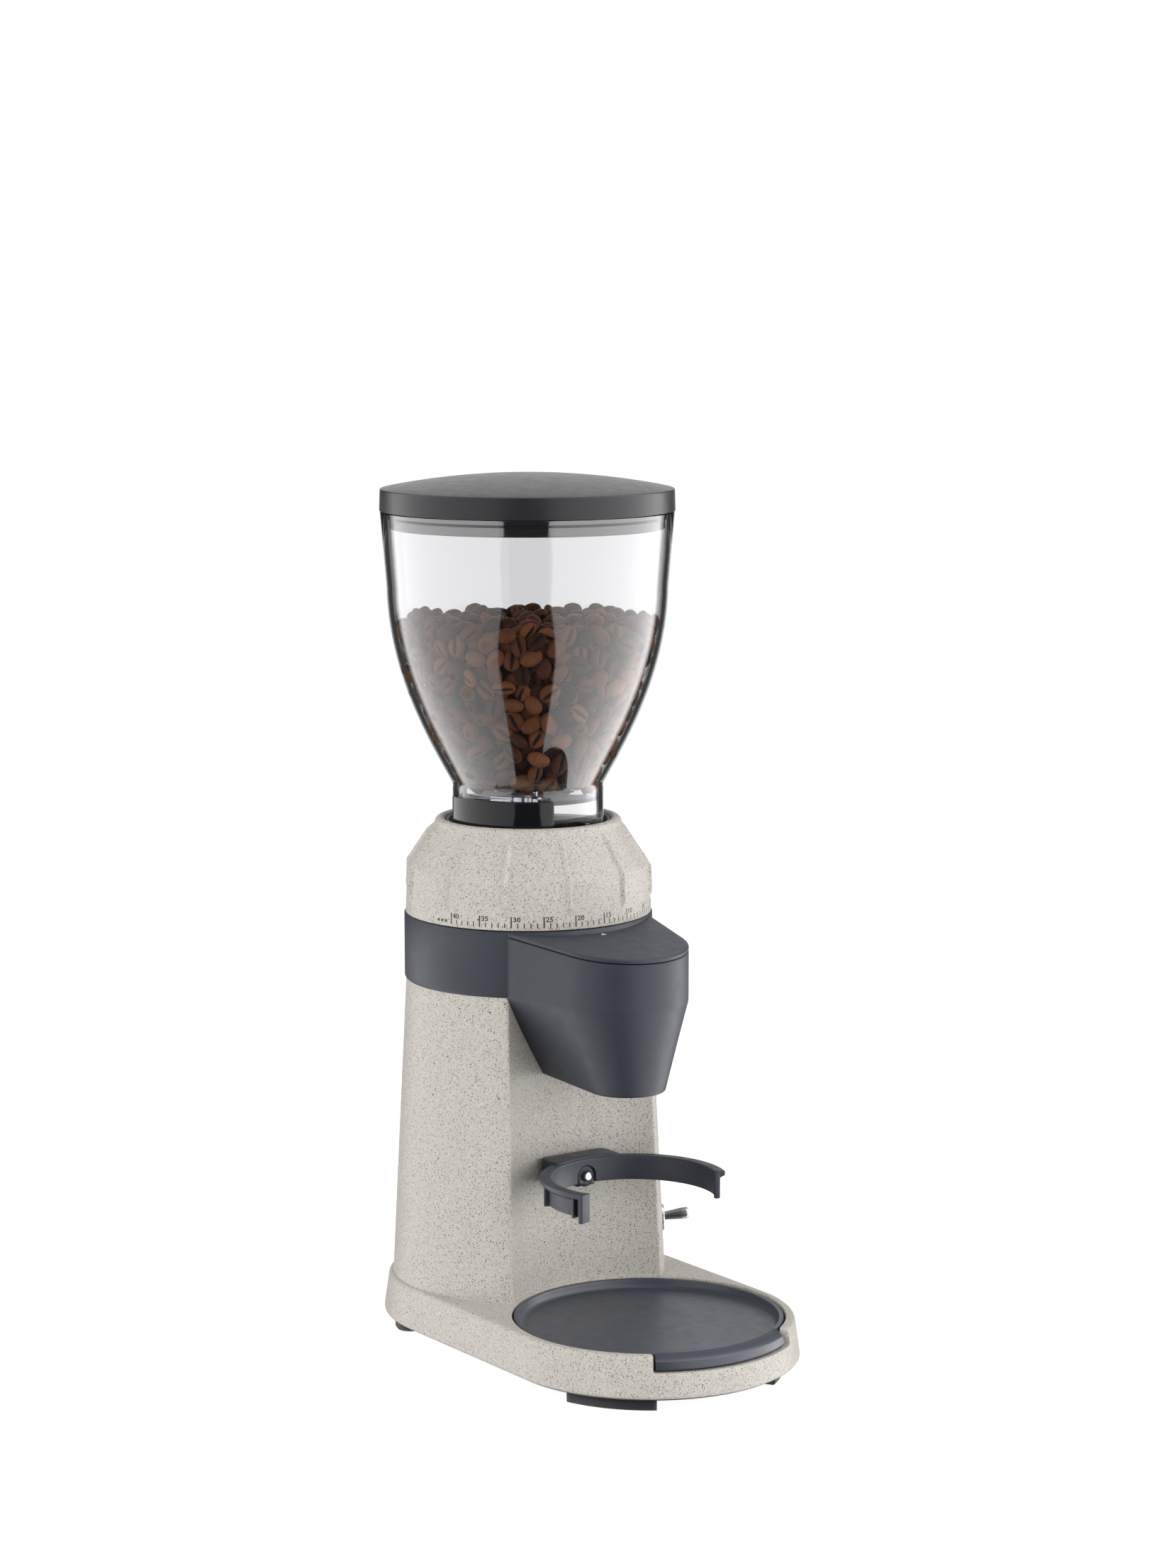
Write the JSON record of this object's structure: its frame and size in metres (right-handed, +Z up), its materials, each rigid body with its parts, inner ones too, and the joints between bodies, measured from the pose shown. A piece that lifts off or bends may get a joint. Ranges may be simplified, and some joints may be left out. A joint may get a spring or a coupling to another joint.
{
  "type": "burr coffee grinder",
  "caption": "Upright burr coffee grinder with a clear bean hopper, turning grind dial, spout over a portafilter fork, and a round tray in its base.",
  "frame": {"origin": "on the floor under the middle of the base's box, where the feet stand", "axes": "+Z up along the column, the tray and the spout towards -Y, the toggle switch on the +X side"},
  "size_m": [0.133, 0.2266, 0.39],
  "materials": {
    "stone_enamel": "fine speckled stone-look coating, satin",
    "anthracite_plastic": "fine satin moulding",
    "lid_plastic": "smooth matte moulding",
    "black_plastic": "plain moulding",
    "gloss_black_plastic": "polished",
    "rubber": "matte",
    "clear_plastic": "clear, polished",
    "coffee": "roasted, slightly oily",
    "chrome": "polished",
    "steel": "machined",
    "cast_alloy": "as cast",
    "lamination": "stacked sheet with copper windings",
    "brass": "plain",
    "gear_plastic": "plain moulding",
    "board": "solder mask"
  },
  "bodies": {
    "housing": {"base": "stone_enamel", "bottom_plate": "black_plastic", "front_foot_left": "rubber", "front_foot_right": "rubber", "rear_foot_left": "rubber", "rear_foot_right": "rubber", "housing_screws": "steel", "column": "stone_enamel", "collar": "anthracite_plastic", "spout_body": "anthracite_plastic", "spout_cover": "anthracite_plastic", "outlet_duct": "black_plastic", "grind_chamber": "cast_alloy", "chamber_screws": "steel", "fork_bracket": "anthracite_plastic", "bracket_screws": "steel", "microswitch": "black_plastic", "button_spring": "steel", "toggle_bush": "chrome", "toggle_nut": "brass", "toggle_switch_body": "black_plastic", "cord_gland": "rubber", "motor_can": "steel", "motor_end_bell": "cast_alloy", "stator_core": "lamination", "brush_holders": "brass", "motor_screws": "steel", "gearbox_housing": "cast_alloy", "gearbox_cover": "cast_alloy", "gearbox_screws": "steel", "idler_pin": "steel", "lower_shaft_bearing": "steel", "upper_shaft_bearing": "steel", "control_board": "board", "board_standoffs": "brass"},
    "motor_rotor": {"motor_shaft": "steel", "armature": "lamination", "commutator": "brass", "cooling_fan": "black_plastic", "motor_pinion": "steel"},
    "idler": {"idler_gear": "gear_plastic"},
    "burr_drive": {"burr_shaft": "steel", "output_gear": "gear_plastic", "impeller": "cast_alloy", "inner_burr": "steel", "burr_screw": "steel"},
    "grind_dial": {"dial": "stone_enamel", "throat_ring": "black_plastic"},
    "upper_burr": {"burr_carrier": "cast_alloy", "ring_burr": "steel"},
    "bean_hopper": {"hopper": "clear_plastic", "coffee_beans": "coffee"},
    "lid": {"hopper_lid": "lid_plastic", "lid_seal": "rubber"},
    "shutter": {"hopper_shutter": "gloss_black_plastic"},
    "grounds_tray": {"tray": "anthracite_plastic"},
    "portafilter_fork": {"fork": "anthracite_plastic"},
    "button": {"start_button": "chrome"},
    "toggle": {"toggle_lever": "chrome"}
  },
  "joints": [
    {"name": "motor_spin", "type": "hinge", "parent": "housing", "child": "motor_rotor", "pos_m": [0, 0.07075, 0.08], "axis": [0, 0, 1], "continuous": true},
    {"name": "idler_spin", "type": "hinge", "parent": "housing", "child": "idler", "pos_m": [0.02078, 0.05875, 0.14], "axis": [0, 0, 1], "continuous": true},
    {"name": "burr_spin", "type": "hinge", "parent": "housing", "child": "burr_drive", "pos_m": [0, 0.04675, 0.18], "axis": [0, 0, 1], "continuous": true},
    {"name": "dial_turn", "type": "hinge", "parent": "housing", "child": "grind_dial", "pos_m": [0, 0.04675, 0.195], "axis": [0, 0, 1], "range_deg": [-48, 72]},
    {"name": "burr_lift", "type": "slide", "parent": "grind_dial", "child": "upper_burr", "axis": [0, 0, 1], "range_m": [-0.00056, 0.00084]},
    {"name": "hopper_lift", "type": "slide", "parent": "grind_dial", "child": "bean_hopper", "axis": [0, 0, 1], "range_m": [0, 0.05]},
    {"name": "shutter_turn", "type": "hinge", "parent": "bean_hopper", "child": "shutter", "pos_m": [0, 0.04675, 0.225], "axis": [0, 0, 1], "range_deg": [0, 45]},
    {"name": "lid_lift", "type": "slide", "parent": "bean_hopper", "child": "lid", "axis": [0, 0, 1], "range_m": [0, 0.06]},
    {"name": "tray_lift", "type": "slide", "parent": "housing", "child": "grounds_tray", "axis": [0, 0, 1], "range_m": [0, 0.04]},
    {"name": "fork_lift", "type": "slide", "parent": "housing", "child": "portafilter_fork", "axis": [0, 0, 1], "range_m": [0, 0.03]},
    {"name": "button_press", "type": "slide", "parent": "housing", "child": "button", "axis": [0, 1, 0], "range_m": [0, 0.003], "stiffness_N_per_m": 300, "springref_m": -0.002, "deforming": ["button_spring"]},
    {"name": "switch_toggle", "type": "hinge", "parent": "housing", "child": "toggle", "pos_m": [0.04955, 0.01814, 0.0475], "axis": [-0.5, -0.866, 0], "range_deg": [-24, 0]}
  ],
  "couplings": [
    {"joint": "idler_spin", "follows": "motor_spin", "ratio": -0.33333},
    {"joint": "burr_spin", "follows": "motor_spin", "ratio": 0.11111},
    {"joint": "burr_lift", "follows": "dial_turn", "m_per_rad": 0.00066845}
  ]
}
